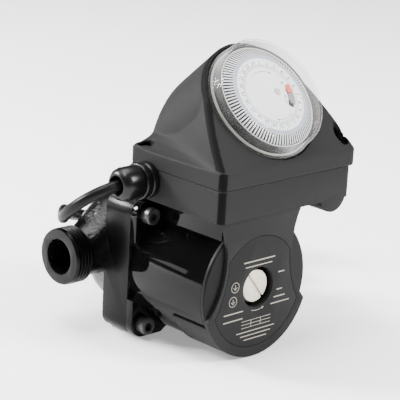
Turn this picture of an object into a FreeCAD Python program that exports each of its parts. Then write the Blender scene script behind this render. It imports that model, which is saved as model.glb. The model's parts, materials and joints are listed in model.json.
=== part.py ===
# Wet-rotor circulator pump with a control box, a tilted 24-hour dial timer and a mains lead.
# Millimetres.  Working axes: X along the pipe, Y along the motor shaft (the timer and nameplate
# look towards -Y), Z up.  Every piece is drawn in one of a few local frames and placed from there.
import FreeCAD, Part
import math
import os
import re

import Sketcher

# ---------------------------------------------------------------- driving dimensions

SIZES = {
    # where the model's origin lies, measured from the crossing of pipe plane and motor axis
    "origin_right": 4.0, "origin_front": 43.85, "origin_drop": 41.0,
    # pump housing
    "port_reach": 65.0, "port_rise": 3.0, "thread_radius": 16.6, "thread_root": 15.1,
    "thread_pitch": 2.309, "thread_count": 5, "port_bore": 10.5, "inlet_bore": 10.8,
    "inlet_depth": 51.0, "neck_radius": 14.2,
    "block_half": 41.0, "block_corner": 9.0, "block_back": 12.0, "joint_plane": 33.0,
    "volute_radius": 38.5, "volute_back": 16.0, "chamber_radius": 34.0, "chamber_back": 11.0,
    "screw_offset": 33.0, "screw_radius": 3.0, "screw_head": 5.0,
    # motor
    "can_radius": 39.8, "can_wall": 2.4, "can_front": 91.5, "can_ear": 38.0,
    "saddle_half": 26.0, "saddle_top": 42.3,
    "cap_front": 94.3, "vent_opening": 11.8, "vent_radius": 9.5, "vent_thread": 6.0,
    "stator_bore": 17.2, "stator_outer": 36.6, "stator_back": 46.0, "stator_front": 74.0,
    "sleeve_radius": 16.8, "sleeve_wall": 0.5, "rotor_radius": 15.6,
    "shaft_radius": 4.0, "bearing_radius": 8.0, "running_gap": 0.05,
    "impeller_radius": 27.0, "eye_radius": 10.0,
    # control box and its apron
    "box_left": -34.7, "box_right": 69.6, "box_front": 98.6, "box_back": 22.2,
    "box_bottom": 42.5, "box_parting": 60.3, "box_rim": 70.4, "box_wall": 2.4,
    "box_corner": 4.5, "hood_right": 73.0, "box_middle": 19.1,
    "apron_face": 96.6, "apron_radius": 41.0, "apron_waist": 25.7, "waist_radius": 50.0,
    "waist_height": 19.5, "plate_low": 34.9, "plate_top": 30.0, "plate_waist": 23.8,
    # timer, in its own tilted frame
    "dial_right": 17.1, "dial_front": 73.4, "dial_up": 99.7, "dial_tilt": 49.3,
    "drum_radius": 38.0, "lens_radius": 35.6, "lens_front": 34.0, "lens_rise": 12.5,
    "lens_wall": 1.6, "case_radius": 32.0, "case_depth": 27.0, "tappet_outer": 30.4,
    "tappet_count": 96, "tappet_low": 5.8, "tappet_high": 8.4, "dial_radius": 25.2,
    "dial_face": 8.5, "centre_radius": 17.3,
    # cable gland and lead
    "gland_front": 38.8, "gland_up": 54.0, "gland_radius": 10.5, "gland_thread": 6.05,
    "cable_radius": 3.3,
    "coil_right": 81.7, "coil_back": 31.9, "coil_radius": 36.3, "coil_rows": 2,
    "coil_layers": 3, "plug_radius": 19.5, "plug_depth": 24.0, "relief_length": 24.0,
}

doc = FreeCAD.newDocument("circulator_pump")
sheet = doc.addObject("Spreadsheet::Sheet", "Sizes")
for row, (alias, number) in enumerate(SIZES.items(), start=1):
    sheet.set("A%d" % row, alias)
    sheet.set("B%d" % row, "%g" % number)
    sheet.setAlias("B%d" % row, alias)
doc.recompute()

nodes = []


def bind(text):
    """An expression on the sheet's cells, as the other objects of the document write it."""
    def cell(word):
        return "Sizes." + word.group(0) if word.group(0) in SIZES else word.group(0)
    return re.sub(r"[a-z][a-z_]+", cell, str(text))


def size(text):
    """The present value of an expression, in millimetres or degrees."""
    return float(sheet.evalExpression(bind(text)))


# ---------------------------------------------------------------- local frames

def frame_at(x, y, z, axis, angle):
    """A local frame whose origin is given from the crossing of the pump's axes."""
    base = FreeCAD.Vector(size(x) - size("origin_right"), size(y) + size("origin_front"),
                          size(z) + size("origin_drop"))
    return FreeCAD.Placement(base, FreeCAD.Rotation(axis, angle))


ACROSS = FreeCAD.Vector(1, 0, 0)
DEPTH = FreeCAD.Vector(0, 1, 0)
UPRIGHT = FreeCAD.Vector(0, 0, 1)

PUMP = frame_at(0, 0, 0, UPRIGHT, 0)
MOTOR = frame_at(0, 0, 0, ACROSS, 90)             # local Z looks out of the motor's front
LEFT_PORT = frame_at(0, 0, "port_rise", DEPTH, -90)
RIGHT_PORT = frame_at(0, 0, "port_rise", DEPTH, 90)
DIAL = frame_at("dial_right", "-dial_front", "dial_up", ACROSS, size("dial_tilt"))
GLAND = frame_at("box_left", "-gland_front", "gland_up", DEPTH, -90)


WIRE_HOLE = (8, -60)                                # where the motor's wires enter the box
SADDLE_SCREWS = [(-20, -50), (-20, -84)]            # these hold the box on the can's saddle
HOOD_SCREWS = [(-28.2, -29.2), (66, -91)]


# ---------------------------------------------------------------- building helpers

def finish(item, label, place=PUMP):
    """Names a sub-part, puts it in its frame and lists it for export."""
    item.Label = label
    item.Placement = place
    nodes.append(item)
    return item


def new_body(name):
    return doc.addObject("PartDesign::Body", name)


def outline(body, name, role, corners):
    """A closed sketch of straight lines whose corners are tied to the sheet."""
    sketch = body.newObject("Sketcher::SketchObject", name)
    plane = [item for item in body.Origin.OriginFeatures if item.Role == role][0]
    sketch.AttachmentSupport = (plane, [""])
    sketch.MapMode = "FlatFace"
    spots = [FreeCAD.Vector(size(a), size(b), 0) for a, b in corners]
    count = len(spots)
    for index, spot in enumerate(spots):
        sketch.addGeometry(Part.LineSegment(spot, spots[(index + 1) % count]))
    for index in range(count):
        sketch.addConstraint(Sketcher.Constraint("Coincident", index, 2, (index + 1) % count, 1))
    for index, (corner, spot) in enumerate(zip(corners, spots)):
        for kind, text, number in (("DistanceX", corner[0], spot.x), ("DistanceY", corner[1], spot.y)):
            rule = sketch.addConstraint(Sketcher.Constraint(kind, index, 1, number))
            if isinstance(text, str):
                sketch.setExpression("Constraints[%d]" % rule, bind(text))
    return sketch


def turn(body, name, profile, kind="Revolution"):
    """Turns (radius, height) corners about the body's own Z axis."""
    sketch = outline(body, name + "_profile", "XZ_Plane", profile)
    feature = body.newObject("PartDesign::" + kind, name)
    feature.Profile = sketch
    feature.ReferenceAxis = (sketch, ["V_Axis"])
    feature.Angle = 360
    sketch.Visibility = False
    return feature


def turned(name, profile):
    body = new_body(name)
    turn(body, name + "_turned", profile)
    return body


def extrude(body, name, corners, length, kind="Pad", role="XY_Plane", reverse=False, middle=False):
    sketch = outline(body, name + "_outline", role, corners)
    feature = body.newObject("PartDesign::" + kind, name)
    feature.Profile = sketch
    feature.setExpression("Length", bind(length))
    feature.Reversed = reverse
    if middle:
        feature.SideType = "Symmetric"
    sketch.Visibility = False
    return feature


def repeat(body, feature, count):
    """A polar pattern of one feature about the body's Z axis."""
    pattern = body.newObject("PartDesign::PolarPattern", feature.Name + "_ring")
    pattern.Originals = [feature]
    axis = [item for item in body.Origin.OriginFeatures if item.Role == "Z_Axis"][0]
    pattern.Axis = (axis, [""])
    pattern.Angle = 360
    pattern.setExpression("Occurrences", bind(count))
    body.Tip = pattern
    return pattern


def box(name, x0, x1, y0, y1, z0, z1):
    """A Part box between two opposite corners, each tied to the sheet."""
    item = doc.addObject("Part::Box", name)
    for side, low, high, letter in (("Length", x0, x1, "x"), ("Width", y0, y1, "y"),
                                    ("Height", z0, z1, "z")):
        item.setExpression(side, bind("(%s) - (%s)" % (high, low)))
        item.setExpression("Placement.Base." + letter, bind(low))
    return item


def cylinder(name, radius, z0, z1, x=0, y=0):
    item = doc.addObject("Part::Cylinder", name)
    item.setExpression("Radius", bind(radius))
    item.setExpression("Height", bind("(%s) - (%s)" % (z1, z0)))
    for letter, text in (("x", x), ("y", y), ("z", z0)):
        item.setExpression("Placement.Base." + letter, bind(text))
    return item


def fuse(name, items):
    item = doc.addObject("Part::MultiFuse", name)
    item.Shapes = items
    item.Refine = True
    return item


def cut(name, base, tool):
    item = doc.addObject("Part::Cut", name)
    item.Base = base
    item.Tool = tool
    item.Refine = True
    return item


def common(name, first, second):
    item = doc.addObject("Part::MultiCommon", name)
    item.Shapes = [first, second]
    return item


def round_upright(name, base, radius):
    """Rounds the edges of a box that run along its own Z axis."""
    doc.recompute()
    item = doc.addObject("Part::Fillet", name)
    item.Base = base
    upright = []
    for index, edge in enumerate(base.Shape.Edges, start=1):
        along = edge.tangentAt(edge.FirstParameter)
        if isinstance(edge.Curve, Part.Line) and abs(abs(along.z) - 1) < 1e-6:
            upright.append((index, size(radius), size(radius)))
    item.Edges = upright
    return item


def place_freely(item):
    """Frees a primitive's place from the sheet after it has been set directly."""
    for letter in "xyz":
        item.setExpression("Placement.Base." + letter, None)


def shaped(name, shape):
    item = doc.addObject("Part::Feature", name)
    item.Shape = shape
    return item


def copies(label, source, spots, place=PUMP, angles=None):
    """Identical pieces as one group of separate solids."""
    doc.recompute()
    solids = []
    for index, spot in enumerate(spots):
        solid = source.Shape.copy()
        angle = angles[index] if angles else 0
        solid.Placement = FreeCAD.Placement(FreeCAD.Vector(*spot), FreeCAD.Rotation(UPRIGHT, angle))
        solids.append(solid)
    return finish(shaped(label, Part.makeCompound(solids)), label, place)


# ---------------------------------------------------------------- pump housing

def housing():
    """Cast housing: square front block, round volute, two swept necks and threaded ports."""
    block = round_upright("block", box("block_raw", "-block_half", "block_half", "-block_half",
                                       "block_half", "block_back", "joint_plane"), "block_corner")
    volute = turned("volute", [
        (0, "-volute_back"), ("volute_radius - 14", "-volute_back"),
        ("volute_radius - 6.5", "-volute_back + 2.5"), ("volute_radius - 1.5", "-volute_back + 8"),
        ("volute_radius", "-volute_back + 14"), ("volute_radius", "block_back + 1"),
        (0, "block_back + 1")])
    ports = []
    for side in ("left", "right"):
        port = turned(side + "_port", thread_profile())
        port.Placement = FreeCAD.Placement(FreeCAD.Vector(0, size("port_rise"), 0),
                                           FreeCAD.Rotation(DEPTH, -90 if side == "left" else 90))
        ports.append(port)
        ports.append(neck(side))
    solid = fuse("housing_solid", [block, volute] + ports)
    chamber = turned("chamber", [
        (0, "-4"), ("eye_radius", "-4"), ("eye_radius", "chamber_back"),
        ("impeller_radius + 2", "chamber_back"), ("chamber_radius", "chamber_back + 3"),
        ("chamber_radius", "joint_plane + 1"), (0, "joint_plane + 1")])
    inlet = bore("inlet", ("port_reach - inlet_depth", "port_rise", 0), DEPTH, 90, "inlet_bore",
                 "inlet_depth + 1")
    throat = bore("inlet_throat", (0, "port_rise", 0), DEPTH, 90, "inlet_bore - 3.3",
                  "port_reach - inlet_depth + 1")
    outlet = bore("outlet", ("-port_reach - 1", "port_rise", 0), DEPTH, 90, "port_bore",
                  "port_reach - 30")
    rise = bore("outlet_rise", (-33, "port_rise + 1", -2), FreeCAD.Vector(-1.2, 1.3, 0), 55,
                "port_bore - 2.5", 30)
    holes = [cylinder("screw_hole_%d" % index, "screw_radius - 0.4", "block_back + 2",
                      "joint_plane + 1", x, y) for index, (x, y) in enumerate(screw_spots())]
    finish(cut("housing_cut", solid, fuse("housing_hollow", [chamber, inlet, throat, outlet, rise] + holes)),
           "pump_housing", MOTOR)


def thread_profile():
    """Half section of a port: flat face, chamfer, thread ridges and a plain neck."""
    corners = [(0, "port_reach - 40"), ("neck_radius", "port_reach - 40"),
               ("neck_radius", "port_reach - thread_pitch * (thread_count + 0.9)")]
    for ridge in range(int(SIZES["thread_count"]), 0, -1):
        for radius, step in (("thread_root", 0.55), ("thread_radius", 0.3),
                             ("thread_radius", 0.0), ("thread_root", -0.25)):
            corners.append((radius, "port_reach - thread_pitch * %g" % (ridge + step - 0.3)))
    corners[-1] = ("thread_radius - 0.6", "port_reach")
    corners.append((0, "port_reach"))
    return corners


def neck(side):
    """The swept channel between a port and the volute: it climbs on the left, dips on the right."""
    sign, lift = (-1, 1) if side == "left" else (1, -1)
    stations = ((52, 0, 14.2), (43, 4.5, 15.2), (34, 10.5, 16.6), (22, 15, 18.0), (6, 14, 18.0))
    rings = []
    for reach, climb, radius in stations:
        centre = FreeCAD.Vector(sign * reach, size("port_rise") + lift * climb, 0)
        circle = Part.Circle(centre, FreeCAD.Vector(1, 0, 0), radius)
        rings.append(Part.Wire(circle.toShape()))
    tube = shaped(side + "_neck", Part.makeLoft(rings, True))
    slab = box(side + "_neck_slab", -60, 60, -60, 60, "-volute_back + 1", "block_back + 4")
    return common(side + "_neck_trimmed", tube, slab)


def bore(name, spot, axis, angle, radius, length):
    item = doc.addObject("Part::Cylinder", name)
    item.setExpression("Radius", bind(radius))
    item.setExpression("Height", bind(length))
    item.Placement = FreeCAD.Placement(FreeCAD.Vector(*[size(text) for text in spot]),
                                       FreeCAD.Rotation(axis, angle))
    return item


def screw_spots():
    reach = size("screw_offset")
    return [(reach, reach), (-reach, reach), (-reach, -reach), (reach, -reach)]


def hydraulics():
    """Everything wet in front of the housing: ring, impeller, plate, seals."""
    finish(turned("wear_ring_body", [
        ("eye_radius - 1.4", "chamber_back - 3"), ("eye_radius", "chamber_back - 3"),
        ("eye_radius", "chamber_back"), ("eye_radius + 2", "chamber_back"),
        ("eye_radius + 2", "chamber_back + 1"), ("eye_radius - 1.4", "chamber_back + 1")]),
        "wear_ring", MOTOR)
    wheel = new_body("impeller_body")
    turn(wheel, "impeller_shroud", [
        ("shaft_radius", 20), ("shaft_radius + 3.5", 20), ("shaft_radius + 3.5", 26.4),
        ("impeller_radius", 26.4), ("impeller_radius", 28), ("shaft_radius + 4", 28),
        ("shaft_radius + 4", 31), ("shaft_radius", 31)])
    vane = extrude(wheel, "vane", [(7, -1), ("impeller_radius - 0.5", 8.5),
                                   ("impeller_radius - 1", 10), (6.5, 0.8)], 12,
                   role="XY_Plane")
    vane.Profile[0].AttachmentOffset = FreeCAD.Placement(FreeCAD.Vector(0, 0, 15), FreeCAD.Rotation())
    repeat(wheel, vane, 6)
    turn(wheel, "impeller_cover", [
        ("eye_radius - 1.6", 13), ("eye_radius + 0.2", 13), ("eye_radius + 0.2", 14.6),
        ("impeller_radius", 17), ("impeller_radius", 18.4), ("eye_radius - 1.6", 16.4)])
    finish(wheel, "impeller", MOTOR)
    finish(turned("plate_body", [
        ("bearing_radius", 33.2), ("sleeve_radius + 1.2", 33.2), ("chamber_radius - 4", 33.2),
        ("chamber_radius - 4", 32.2), ("chamber_radius - 0.3", 32.2), ("chamber_radius - 0.3", 33.2),
        ("can_radius - 3.5", 33.2), ("can_radius - 3.5", 34.4), ("sleeve_radius + 1.2", 34.4),
        ("bearing_radius", 34.4)]), "bearing_plate", MOTOR)
    finish(turned("gasket_body", [
        ("can_radius - 3.3", 33.05), ("can_radius - 0.9", 33.05), ("can_radius - 0.9", 35.2),
        ("can_radius - 3.3", 35.2)]), "housing_gasket", MOTOR)


# ---------------------------------------------------------------- motor

def rotor():
    finish(turned("shaft_body", [
        (0, 18), ("shaft_radius - 0.01", 18), ("shaft_radius - 0.01", 85.5), (0, 85.5)]),
        "rotor_shaft", MOTOR)
    finish(turned("rotor_body", [
        ("shaft_radius", "stator_back - 1"), ("rotor_radius - 1.5", "stator_back - 1"),
        ("rotor_radius", "stator_back + 1"), ("rotor_radius", "stator_front - 1"),
        ("rotor_radius - 1.5", "stator_front + 1"), ("shaft_radius", "stator_front + 1")]),
        "rotor_core", MOTOR)
    finish(turned("rear_bearing_body", [
        ("shaft_radius + running_gap", 33), ("bearing_radius - 0.02", 33),
        ("bearing_radius - 0.02", 41), ("shaft_radius + running_gap", 41)]),
        "rear_bearing", MOTOR)
    finish(turned("front_bearing_body", [
        ("shaft_radius + running_gap", 77.5), ("bearing_radius", 77.5), ("bearing_radius", 84.5),
        ("shaft_radius + running_gap", 84.5)]), "front_bearing", MOTOR)
    finish(turned("washer_body", [
        ("shaft_radius + 0.3", 41.3), ("bearing_radius", 41.3), ("bearing_radius", 43.3),
        ("shaft_radius + 0.3", 43.3)]), "thrust_washer", MOTOR)
    finish(turned("sleeve_body", [
        ("sleeve_radius - sleeve_wall", 34.5), ("sleeve_radius + 6", 34.5), ("sleeve_radius + 6", 35.1),
        ("sleeve_radius", 35.1), ("sleeve_radius", 80), ("vent_thread + 3.5", 80),
        ("vent_thread + 3.5", 90.5), ("vent_thread + 0.1", 90.5), ("vent_thread + 0.1", 86),
        ("bearing_radius + 0.4", 86), ("bearing_radius + 0.4", "80 - sleeve_wall"),
        ("sleeve_radius - sleeve_wall", "80 - sleeve_wall")]), "rotor_sleeve", MOTOR)


def stator():
    core = new_body("core_body")
    turn(core, "core_ring", [("stator_bore", "stator_back"), ("stator_outer", "stator_back"),
                             ("stator_outer", "stator_front"), ("stator_bore", "stator_front")])
    slot = extrude(core, "slot", [("stator_bore - 1", -2), ("stator_bore + 9", -3.4),
                                  ("stator_bore + 9", 3.4), ("stator_bore - 1", 2)],
                   "stator_front + 1", kind="Pocket", reverse=True)
    repeat(core, slot, 12)
    finish(core, "stator_core", MOTOR)
    coils = new_body("coil_body")
    for name, low, high in (("rear_turns", "stator_back - 8", "stator_back - 0.4"),
                            ("front_turns", "stator_front + 0.4", "stator_front + 8")):
        turn(coils, name, [
            ("stator_bore + 1.5", low), ("stator_bore + 10", low), ("stator_bore + 12", high),
            ("stator_bore + 0.6", high)] if name == "rear_turns" else [
            ("stator_bore + 0.6", low), ("stator_bore + 12", low), ("stator_bore + 10", high),
            ("stator_bore + 1.5", high)])
        if name == "rear_turns":
            bar = extrude(coils, "slot_bar", [
                ("stator_bore + 1.2", -1.6), ("stator_bore + 8.4", -2.7),
                ("stator_bore + 8.4", 2.7), ("stator_bore + 1.2", 1.6)],
                "stator_front - stator_back + 2")
            bar.Profile[0].AttachmentOffset = FreeCAD.Placement(
                FreeCAD.Vector(0, 0, size("stator_back - 1")), FreeCAD.Rotation())
            repeat(coils, bar, 12)
    finish(coils, "stator_windings", MOTOR)


def motor_shell():
    """Drawn can with four fixing ears and the saddle that carries the control box."""
    barrel = cylinder("barrel", "can_radius", "joint_plane + 0.1", "can_front")
    plate = round_upright("ear_plate", box("ear_plate_raw", "-block_half", "block_half",
                                           "-block_half", "block_half", "joint_plane + 0.1",
                                           "can_ear"), "block_corner")
    relief = [cylinder("ear_relief_%d" % index, 27.5, "joint_plane", "can_ear + 1",
                       x * 62, y * 62) for index, (x, y) in
              enumerate(((0, 1), (0, -1), (1, 0), (-1, 0)))]
    ears = cut("ears", plate, fuse("ear_reliefs", relief))
    saddle = box("saddle", "-saddle_half", "saddle_half", 20, "saddle_top - 0.05", 41, "can_front")
    hollow = turned("can_hollow", [
        (0, "joint_plane"), ("can_radius - 0.8", "joint_plane"), ("can_radius - 0.8", 35.3),
        ("stator_outer + 0.1", 35.3), ("stator_outer + 0.1", "can_front - can_wall"),
        ("vent_opening", "can_front - can_wall"), ("vent_opening", "can_front + 1"),
        (0, "can_front + 1")])
    downward = [cylinder("wire_duct", 5, 0, 30)]
    downward += [cylinder("saddle_screw_hole_%d" % index, 1.95, 4, 30) for index in range(2)]
    for item, (x, y) in zip(downward, [WIRE_HOLE] + SADDLE_SCREWS):
        place_freely(item)
        item.Placement = FreeCAD.Placement(FreeCAD.Vector(x, 30 if y == WIRE_HOLE[1] else 33.9, -y),
                                           FreeCAD.Rotation(ACROSS, -90))
    holes = [cylinder("ear_hole_%d" % index, "screw_radius + 0.3", "joint_plane", "can_ear + 1", x, y)
             for index, (x, y) in enumerate(screw_spots())]
    finish(cut("motor_can_cut", fuse("motor_can_solid", [barrel, ears, saddle]),
               fuse("motor_can_hollow", [hollow] + downward + holes)), "motor_can", MOTOR)
    finish(turned("cap_body", [
        ("vent_opening", "can_front + 0.05"), ("can_radius", "can_front + 0.05"),
        ("can_radius", "cap_front - 0.7"), ("can_radius - 0.7", "cap_front"),
        ("vent_opening", "cap_front")]), "motor_front_cap", MOTOR)


def fasteners():
    screw = new_body("flange_screw_body")
    turn(screw, "flange_screw_turned", [
        (0, 16), ("screw_radius - 0.45", 16), ("screw_radius - 0.45", "can_ear"),
        ("screw_head", "can_ear"), ("screw_head", "can_ear + 5.5"),
        ("screw_head - 0.6", "can_ear + 6"), (0, "can_ear + 6")])
    hexagon = [(2.9 * math.cos(math.radians(60 * k)), 2.9 * math.sin(math.radians(60 * k)))
               for k in range(6)]
    socket = extrude(screw, "hex_socket", hexagon, 3.5, kind="Pocket")
    socket.Profile[0].AttachmentOffset = FreeCAD.Placement(
        FreeCAD.Vector(0, 0, size("can_ear + 6")), FreeCAD.Rotation())
    copies("flange_screws", screw, [(x, y, 0) for x, y in screw_spots()], MOTOR)

    vent = new_body("vent_body")
    turn(vent, "vent_turned", [
        (0, 86.5), ("vent_thread", 86.5), ("vent_thread", 91), ("vent_radius", 91),
        ("vent_radius", "cap_front - 0.5"), ("vent_radius - 0.5", "cap_front"), (0, "cap_front")])
    slot = extrude(vent, "driver_slot", [(-9.8, -0.75), (9.8, -0.75), (9.8, 0.75), (-9.8, 0.75)],
                   1.6, kind="Pocket")
    slot.Profile[0].AttachmentOffset = FreeCAD.Placement(
        FreeCAD.Vector(0, 0, size("cap_front")), FreeCAD.Rotation(UPRIGHT, -51))
    finish(vent, "vent_screw", MOTOR)
    finish(turned("vent_seal_body", [
        ("vent_thread + 0.4", 90.6), ("vent_radius - 0.4", 90.6), ("vent_radius - 0.4", 90.95),
        ("vent_thread + 0.4", 90.95)]), "vent_screw_seal", MOTOR)


# ---------------------------------------------------------------- control box

def control_box():
    """Open box with the apron that hangs over the motor's front, and its skirt."""
    outer = round_upright("base_outer", box("base_outer_raw", "box_left", "box_right", "-box_front",
                                            "-box_back", "box_bottom", "box_parting"), "box_corner")
    inner = box("base_inner", "box_left + box_wall", "box_right - box_wall",
                "-box_front + box_wall", "-box_back - box_wall", "box_bottom + box_wall",
                "box_parting + 1")
    bump = cylinder("corner_bump", 10.8, 0, 14)
    bump.Placement = FreeCAD.Placement(FreeCAD.Vector(55, -size("box_front"), 46),
                                       FreeCAD.Rotation(ACROSS, -90))
    place_freely(bump)
    disc = cylinder("apron_disc", "apron_radius", "cap_front + 0.05", "apron_face")
    strip = box("apron_strip", -33, 33, 0, "box_bottom + 4", "cap_front + 0.05", "apron_face")
    sides = [cylinder("apron_side_%d" % index, "waist_radius", "cap_front - 1", "apron_face + 1",
                      "%d * (apron_waist + waist_radius)" % side, "waist_height")
             for index, side in enumerate((-1, 1))]
    face = cut("apron_face_plate", fuse("apron_sheet", [disc, strip]), fuse("apron_sides", sides))
    ring = turned("skirt_ring", [
        ("can_radius + 0.05", 66), ("apron_radius", 67), ("apron_radius", "cap_front + 0.1"),
        ("can_radius + 0.05", "cap_front + 0.1")])
    skirt = common("skirt", ring, box("skirt_zone", -45, 45, -45, -18, 60, 100))
    recess = nameplate_blank("plate_recess", 0.3, "apron_face - 0.8", "apron_face + 1")
    opening = cylinder("apron_opening", "vent_opening", "cap_front - 1", "apron_face + 1")
    apron = cut("apron", fuse("apron_solid", [face, skirt]),
                fuse("apron_cuts", [recess, opening]))
    apron.Placement = FreeCAD.Placement(FreeCAD.Vector(), FreeCAD.Rotation(ACROSS, 90))
    shell = cut("base_shell", fuse("base_solid", [outer, bump]), inner)
    gland_holes = [cylinder("gland_hole", "gland_thread + 0.1", 0, 8),
                   cylinder("locknut_room", "gland_thread + 1.8", 0, 2.2)]
    for item, inside in zip(gland_holes, (-1, 2.4)):
        place_freely(item)
        item.Placement = FreeCAD.Placement(
            FreeCAD.Vector(size("box_left") + inside, -size("gland_front"), size("gland_up")),
            FreeCAD.Rotation(DEPTH, 90))
    floor_holes = [cylinder("floor_hole_%d" % index, radius, "box_bottom - 1",
                            "box_bottom + box_wall + 1", x, y) for index, (radius, (x, y)) in
                   enumerate(zip((5.2, 2.1, 2.1), [WIRE_HOLE] + SADDLE_SCREWS))]
    posts = [cylinder("post_%d" % index, 4, "box_bottom + 1", "box_parting", x, y)
             for index, (x, y) in enumerate(HOOD_SCREWS)]
    pilots = [cylinder("pilot_%d" % index, 1.6, "box_bottom + 4", "box_parting + 1", x, y)
              for index, (x, y) in enumerate(HOOD_SCREWS)]
    finish(cut("control_box_cut", fuse("control_box_solid", [shell, apron] + posts),
               fuse("control_box_holes", gland_holes + floor_holes + pilots)), "control_box_base")

    plate = nameplate_blank("nameplate_blank", 0, "apron_face - 0.75", "apron_face")
    finish(cut("nameplate_cut", plate, cylinder("nameplate_hole", "vent_opening", "cap_front",
                                                "apron_face + 1")), "nameplate", MOTOR)
    frame = round_upright("gasket_outer", box("gasket_outer_raw", "box_left + 0.2",
                          "box_right - 0.2", "-box_front + 0.2", "-box_back - 0.2",
                          "box_parting + 0.03", "box_parting + 0.37"), "box_corner - 0.2")
    hole = box("gasket_inner", "box_left + 2.3", "box_right - 2.3", "-box_front + 2.3",
               "-box_back - 2.3", "box_parting", "box_parting + 1")
    finish(cut("gasket_cut", frame, hole), "box_gasket")
    finish(round_upright("side_plate", box("side_plate_raw", "box_right + 0.4", "hood_right - 0.7",
                         "-box_front + 8", "-box_back - 8", "box_bottom", "box_parting"), 0.6),
           "side_plate")


def nameplate_blank(name, grow, low, high):
    """Plate outline: two arcs about the motor axis with a hollow waist between them."""
    top = cylinder(name + "_top", "plate_top + %g" % grow, low, high)
    bottom = common(name + "_bottom", cylinder(name + "_low", "plate_low + %g" % grow, low, high),
                    box(name + "_half", -50, 50, -50, 0, low, high))
    sides = [cylinder("%s_side_%d" % (name, index), "64 - %g" % grow, "(%s) - 1" % low,
                      "(%s) + 1" % high, "%d * (plate_waist + 64)" % side, "waist_height")
             for index, side in enumerate((-1, 1))]
    return cut(name, fuse(name + "_arcs", [top, bottom]), fuse(name + "_sides", sides))


def hood_section(height, inset):
    """Level outline of the hood's flared foot: straight front, sides narrowing to the back."""
    tilt = math.radians(size("dial_tilt"))
    front = -size("box_front") + height / math.tan(tilt) + inset / math.sin(tilt)
    back = -size("box_back") - inset - 1.3 * max(0.0, height - 24)
    half = size("hood_right - box_middle") - inset
    reach = half - 0.159 * height - 0.00633 * height ** 2
    up_slope = ((back + size("dial_front")) * math.cos(tilt)
                + (size("box_rim - dial_up") + height) * math.sin(tilt))
    radius = size("drum_radius") - inset
    rear = math.sqrt(max(0.0, radius ** 2 - up_slope ** 2)) + 15.8 * math.exp(-height / 3)
    middle = size("box_middle")
    corners = [(middle - reach, front, 3.6), (middle + reach, front, 3.6),
               (middle + min(rear, reach), back, 4.0), (middle - min(rear, reach), back, 4.0)]
    return rounded_wire(corners, size("box_rim") + height)


def rounded_wire(corners, level):
    """A closed level wire through corners given as (x, y, rounding)."""
    count = len(corners)
    points = [FreeCAD.Vector(x, y, level) for x, y, _ in corners]
    starts, ends, middles = [], [], []
    for index, (_, _, radius) in enumerate(corners):
        corner = points[index]
        before = (points[index - 1] - corner).normalize()
        after = (points[(index + 1) % count] - corner).normalize()
        half = before.getAngle(after) / 2
        run = radius / math.tan(half)
        bisector = (before + after).normalize()
        starts.append(corner + before * run)
        ends.append(corner + after * run)
        middles.append(corner + bisector * (radius / math.sin(half) - radius))
    edges = []
    for index in range(count):
        edges.append(Part.Arc(starts[index], middles[index], ends[index]).toShape())
        edges.append(Part.LineSegment(ends[index], starts[(index + 1) % count]).toShape())
    return Part.Wire(edges)


def hood_block(name, inset, bottom):
    """The hood's outer form, or with an inset its hollow: flared foot and tilted drum."""
    heights = [0, 1.2, 3, 6, 11, 17, 24, 30, 36, 42 - inset]
    foot = shaped(name + "_foot", Part.makeLoft([hood_section(height, inset) for height in heights],
                                                True, True))
    drum = cylinder(name + "_drum", "drum_radius - %g" % inset, "-70", "-%g" % (inset * 0.9))
    tilted = FreeCAD.Placement(
        FreeCAD.Vector(size("dial_right"), -size("dial_front"), size("dial_up")),
        FreeCAD.Rotation(ACROSS, size("dial_tilt")))
    shift = tilted.multiply(FreeCAD.Placement(FreeCAD.Vector(0, 0, -70), FreeCAD.Rotation()))
    place_freely(drum)
    drum.Placement = shift
    zone = box(name + "_zone", -40, 80, -120, "-box_back - %g" % (inset + 0.4), "box_rim", 150)
    rim = round_upright(name + "_rim", box(name + "_rim_raw", "box_left + %g" % inset,
                        "hood_right - %g" % inset, "-box_front + %g" % inset,
                        "-box_back - %g" % inset, bottom, "box_rim + 0.01"),
                        "box_corner - %g" % min(inset, 2.4))
    return fuse(name, [foot, common(name + "_tilted", drum, zone), rim])


def hood():
    outer = hood_block("hood_outer", 0, "box_parting + 0.4")
    inner = hood_block("hood_inner", 2.4, "box_parting")
    seat = cylinder("dial_seat", "case_radius + 0.15", 0, 9)
    rebate = cylinder("lens_rebate", "lens_radius + 0.5", 0, 9)
    for item, depth in ((seat, -6.0), (rebate, -1.5)):
        place_freely(item)
        item.Placement = FreeCAD.Placement(
            FreeCAD.Vector(size("dial_right"), -size("dial_front"), size("dial_up")),
            FreeCAD.Rotation(ACROSS, size("dial_tilt"))).multiply(
                FreeCAD.Placement(FreeCAD.Vector(0, 0, depth), FreeCAD.Rotation()))
    pillars = []
    wells = []
    for index, (x, y) in enumerate(HOOD_SCREWS):
        pillars.append(cylinder("pillar_%d" % index, 6.4, "box_parting + 2", "box_rim + 1", x, y))
        wells.append(cylinder("well_%d" % index, 4.6, "box_rim - 3", "box_rim + 40", x, y))
        wells.append(cylinder("well_bore_%d" % index, 2.1, "box_parting", "box_rim", x, y))
    trimmed = common("pillars", fuse("pillar_pair", pillars),
                     box("pillar_zone", "box_left + 0.5", "hood_right - 0.5", "-box_front + 0.5",
                         "-box_back - 0.5", "box_parting + 0.8", "box_rim + 1"))
    skin = cut("hood_skin", outer, inner)
    finish(cut("hood_cut", fuse("hood_solid", [skin, trimmed]),
               fuse("hood_openings", [seat, rebate] + wells)), "timer_hood")
    screw = turned("hood_screw_body", [
        (0, "box_parting - 9"), (1.5, "box_parting - 9"), (1.5, "box_rim - 2.9"),
        (3.8, "box_rim - 2.9"), (3.8, "box_rim - 1.2"), (2.4, "box_rim - 0.4"),
        (0, "box_rim - 0.4")])
    copies("hood_screws", screw, [(x, y, 0) for x, y in HOOD_SCREWS])


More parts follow.
